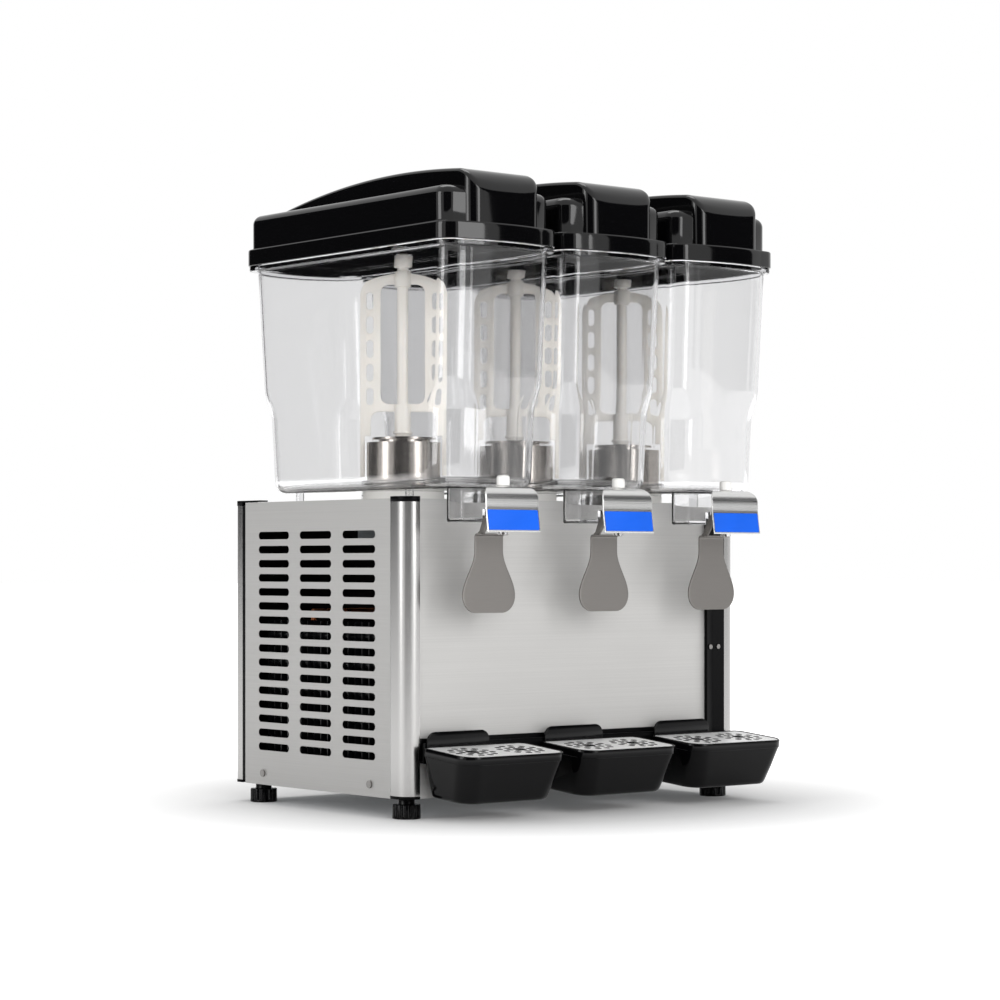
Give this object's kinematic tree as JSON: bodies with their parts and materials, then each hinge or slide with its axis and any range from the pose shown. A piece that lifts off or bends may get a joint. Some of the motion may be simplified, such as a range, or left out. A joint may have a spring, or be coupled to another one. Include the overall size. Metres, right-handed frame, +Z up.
{
  "type": "cold drink dispenser",
  "caption": "Counter-top cold drink dispenser with clear bowls on a stainless cooling cabinet, stirring paddles, push-lever taps and lift-off drip trays",
  "frame": {"origin": "On the table under the middle of the overall box", "axes": "+Z up, +X to the right seen from the taps, -Y towards the user at the taps"},
  "size_m": [0.5432, 0.465, 0.768],
  "materials": {
    "steel_sheet": "brushed stainless sheet",
    "zinc_sheet": "galvanised sheet",
    "post_aluminium": "satin extrusion",
    "black_plastic": "moulded",
    "gloss_black": "polished moulding",
    "black_rubber": "moulded rubber",
    "white_rubber": "silicone",
    "polished_steel": "polished stainless",
    "motor_grey": "grey enamel",
    "black_enamel": "black enamel",
    "copper": "drawn copper tube",
    "green_plastic": "moulded",
    "red_plastic": "moulded",
    "cream_plastic": "moulded",
    "white_plastic": "moulded",
    "clear_plastic": "clear moulding"
  },
  "bodies": {
    "cabinet": {"front_panel": "steel_sheet", "side_panels": "steel_sheet", "back_panel": "steel_sheet", "top_deck": "steel_sheet", "base_pan": "zinc_sheet", "corner_posts": "post_aluminium", "post_caps": "black_plastic", "trim_strips": "black_plastic", "feet": "black_rubber", "tray_rail": "black_plastic", "panel_screws": "polished_steel", "evaporator_domes": "polished_steel", "dome_seals": "white_rubber", "stir_motors": "motor_grey", "compressor": "black_enamel", "condenser": "black_enamel", "fan_shroud": "black_enamel", "fan_motor": "motor_grey", "refrigerant_lines": "copper", "switch_frames": "black_plastic", "thermostat": "cream_plastic", "cord_gland": "black_plastic"},
    "fan": {"fan_blade": "black_plastic"},
    "cooling_rocker": {"cooling_switch": "green_plastic"},
    "stirring_rocker": {"stirring_switch": "red_plastic"},
    "knob": {"thermostat_knob": "black_plastic"},
    "bowl_1": {"bowl_1": "clear_plastic", "tap_cover_1": "steel_sheet", "tap_pin_1": "polished_steel", "tap_spring_1": "polished_steel"},
    "lid_1": {"lid_1": "gloss_black"},
    "paddle_1": {"paddle_1": "cream_plastic"},
    "drive_1": {"drive_shaft_1": "polished_steel"},
    "lever_1": {"tap_lever_1": "steel_sheet"},
    "plunger_1": {"tap_plunger_1": "white_plastic"},
    "tray_1": {"drip_tray_1": "gloss_black"},
    "grid_1": {"drip_grid_1": "polished_steel"},
    "bowl_2": {"bowl_2": "clear_plastic", "tap_cover_2": "steel_sheet", "tap_pin_2": "polished_steel", "tap_spring_2": "polished_steel"},
    "lid_2": {"lid_2": "gloss_black"},
    "paddle_2": {"paddle_2": "cream_plastic"},
    "drive_2": {"drive_shaft_2": "polished_steel"},
    "lever_2": {"tap_lever_2": "steel_sheet"},
    "plunger_2": {"tap_plunger_2": "white_plastic"},
    "tray_2": {"drip_tray_2": "gloss_black"},
    "grid_2": {"drip_grid_2": "polished_steel"},
    "bowl_3": {"bowl_3": "clear_plastic", "tap_cover_3": "steel_sheet", "tap_pin_3": "polished_steel", "tap_spring_3": "polished_steel"},
    "lid_3": {"lid_3": "gloss_black"},
    "paddle_3": {"paddle_3": "cream_plastic"},
    "drive_3": {"drive_shaft_3": "polished_steel"},
    "lever_3": {"tap_lever_3": "steel_sheet"},
    "plunger_3": {"tap_plunger_3": "white_plastic"},
    "tray_3": {"drip_tray_3": "gloss_black"},
    "grid_3": {"drip_grid_3": "polished_steel"}
  },
  "joints": [
    {"name": "fan_spin", "type": "hinge", "parent": "cabinet", "child": "fan", "pos_m": [-0.2049, 0.0455, 0.128], "axis": [1, 0, 0], "continuous": true},
    {"name": "cooling_rocker_tilt", "type": "hinge", "parent": "cabinet", "child": "cooling_rocker", "pos_m": [0.12, 0.2165, 0.324], "axis": [1, 0, 0], "range_deg": [0, 16]},
    {"name": "stirring_rocker_tilt", "type": "hinge", "parent": "cabinet", "child": "stirring_rocker", "pos_m": [0.16, 0.2165, 0.324], "axis": [1, 0, 0], "range_deg": [0, 16]},
    {"name": "knob_turn", "type": "hinge", "parent": "cabinet", "child": "knob", "pos_m": [0.08, 0.2185, 0.324], "axis": [0, 1, 0], "range_deg": [0, 270]},
    {"name": "bowl_1_lift", "type": "slide", "parent": "cabinet", "child": "bowl_1", "axis": [0, 0, 1], "range_m": [0, 0.15]},
    {"name": "lid_1_lift", "type": "slide", "parent": "bowl_1", "child": "lid_1", "axis": [0, 0, 1], "range_m": [0, 0.12]},
    {"name": "drive_1_spin", "type": "hinge", "parent": "cabinet", "child": "drive_1", "pos_m": [-0.181, -0.0165, 0.378], "axis": [0, 0, 1], "continuous": true},
    {"name": "paddle_1_spin", "type": "hinge", "parent": "bowl_1", "child": "paddle_1", "pos_m": [-0.181, -0.0165, 0.458], "axis": [0, 0, 1], "continuous": true},
    {"name": "lever_1_push", "type": "hinge", "parent": "bowl_1", "child": "lever_1", "pos_m": [-0.181, -0.2195, 0.37], "axis": [1, 0, 0], "range_deg": [0, 14], "stiffness_Nm_per_rad": 1.5, "springref_deg": -8.59},
    {"name": "plunger_1_rise", "type": "slide", "parent": "bowl_1", "child": "plunger_1", "axis": [0, 0, 1], "range_m": [0, 0.003]},
    {"name": "tray_1_lift", "type": "slide", "parent": "cabinet", "child": "tray_1", "axis": [0, 0, 1], "range_m": [0, 0.06]},
    {"name": "grid_1_lift", "type": "slide", "parent": "tray_1", "child": "grid_1", "axis": [0, 0, 1], "range_m": [0, 0.05]},
    {"name": "bowl_2_lift", "type": "slide", "parent": "cabinet", "child": "bowl_2", "axis": [0, 0, 1], "range_m": [0, 0.15]},
    {"name": "lid_2_lift", "type": "slide", "parent": "bowl_2", "child": "lid_2", "axis": [0, 0, 1], "range_m": [0, 0.12]},
    {"name": "drive_2_spin", "type": "hinge", "parent": "cabinet", "child": "drive_2", "pos_m": [0, -0.0165, 0.378], "axis": [0, 0, 1], "continuous": true},
    {"name": "paddle_2_spin", "type": "hinge", "parent": "bowl_2", "child": "paddle_2", "pos_m": [0, -0.0165, 0.458], "axis": [0, 0, 1], "continuous": true},
    {"name": "lever_2_push", "type": "hinge", "parent": "bowl_2", "child": "lever_2", "pos_m": [0, -0.2195, 0.37], "axis": [1, 0, 0], "range_deg": [0, 14], "stiffness_Nm_per_rad": 1.5, "springref_deg": -8.59},
    {"name": "plunger_2_rise", "type": "slide", "parent": "bowl_2", "child": "plunger_2", "axis": [0, 0, 1], "range_m": [0, 0.003]},
    {"name": "tray_2_lift", "type": "slide", "parent": "cabinet", "child": "tray_2", "axis": [0, 0, 1], "range_m": [0, 0.06]},
    {"name": "grid_2_lift", "type": "slide", "parent": "tray_2", "child": "grid_2", "axis": [0, 0, 1], "range_m": [0, 0.05]},
    {"name": "bowl_3_lift", "type": "slide", "parent": "cabinet", "child": "bowl_3", "axis": [0, 0, 1], "range_m": [0, 0.15]},
    {"name": "lid_3_lift", "type": "slide", "parent": "bowl_3", "child": "lid_3", "axis": [0, 0, 1], "range_m": [0, 0.12]},
    {"name": "drive_3_spin", "type": "hinge", "parent": "cabinet", "child": "drive_3", "pos_m": [0.181, -0.0165, 0.378], "axis": [0, 0, 1], "continuous": true},
    {"name": "paddle_3_spin", "type": "hinge", "parent": "bowl_3", "child": "paddle_3", "pos_m": [0.181, -0.0165, 0.458], "axis": [0, 0, 1], "continuous": true},
    {"name": "lever_3_push", "type": "hinge", "parent": "bowl_3", "child": "lever_3", "pos_m": [0.181, -0.2195, 0.37], "axis": [1, 0, 0], "range_deg": [0, 14], "stiffness_Nm_per_rad": 1.5, "springref_deg": -8.59},
    {"name": "plunger_3_rise", "type": "slide", "parent": "bowl_3", "child": "plunger_3", "axis": [0, 0, 1], "range_m": [0, 0.003]},
    {"name": "tray_3_lift", "type": "slide", "parent": "cabinet", "child": "tray_3", "axis": [0, 0, 1], "range_m": [0, 0.06]},
    {"name": "grid_3_lift", "type": "slide", "parent": "tray_3", "child": "grid_3", "axis": [0, 0, 1], "range_m": [0, 0.05]}
  ],
  "couplings": [
    {"joint": "paddle_1_spin", "follows": "drive_1_spin", "ratio": 1},
    {"joint": "plunger_1_rise", "follows": "lever_1_push", "m_per_rad": 0.0115},
    {"joint": "paddle_2_spin", "follows": "drive_2_spin", "ratio": 1},
    {"joint": "plunger_2_rise", "follows": "lever_2_push", "m_per_rad": 0.0115},
    {"joint": "paddle_3_spin", "follows": "drive_3_spin", "ratio": 1},
    {"joint": "plunger_3_rise", "follows": "lever_3_push", "m_per_rad": 0.0115}
  ]
}
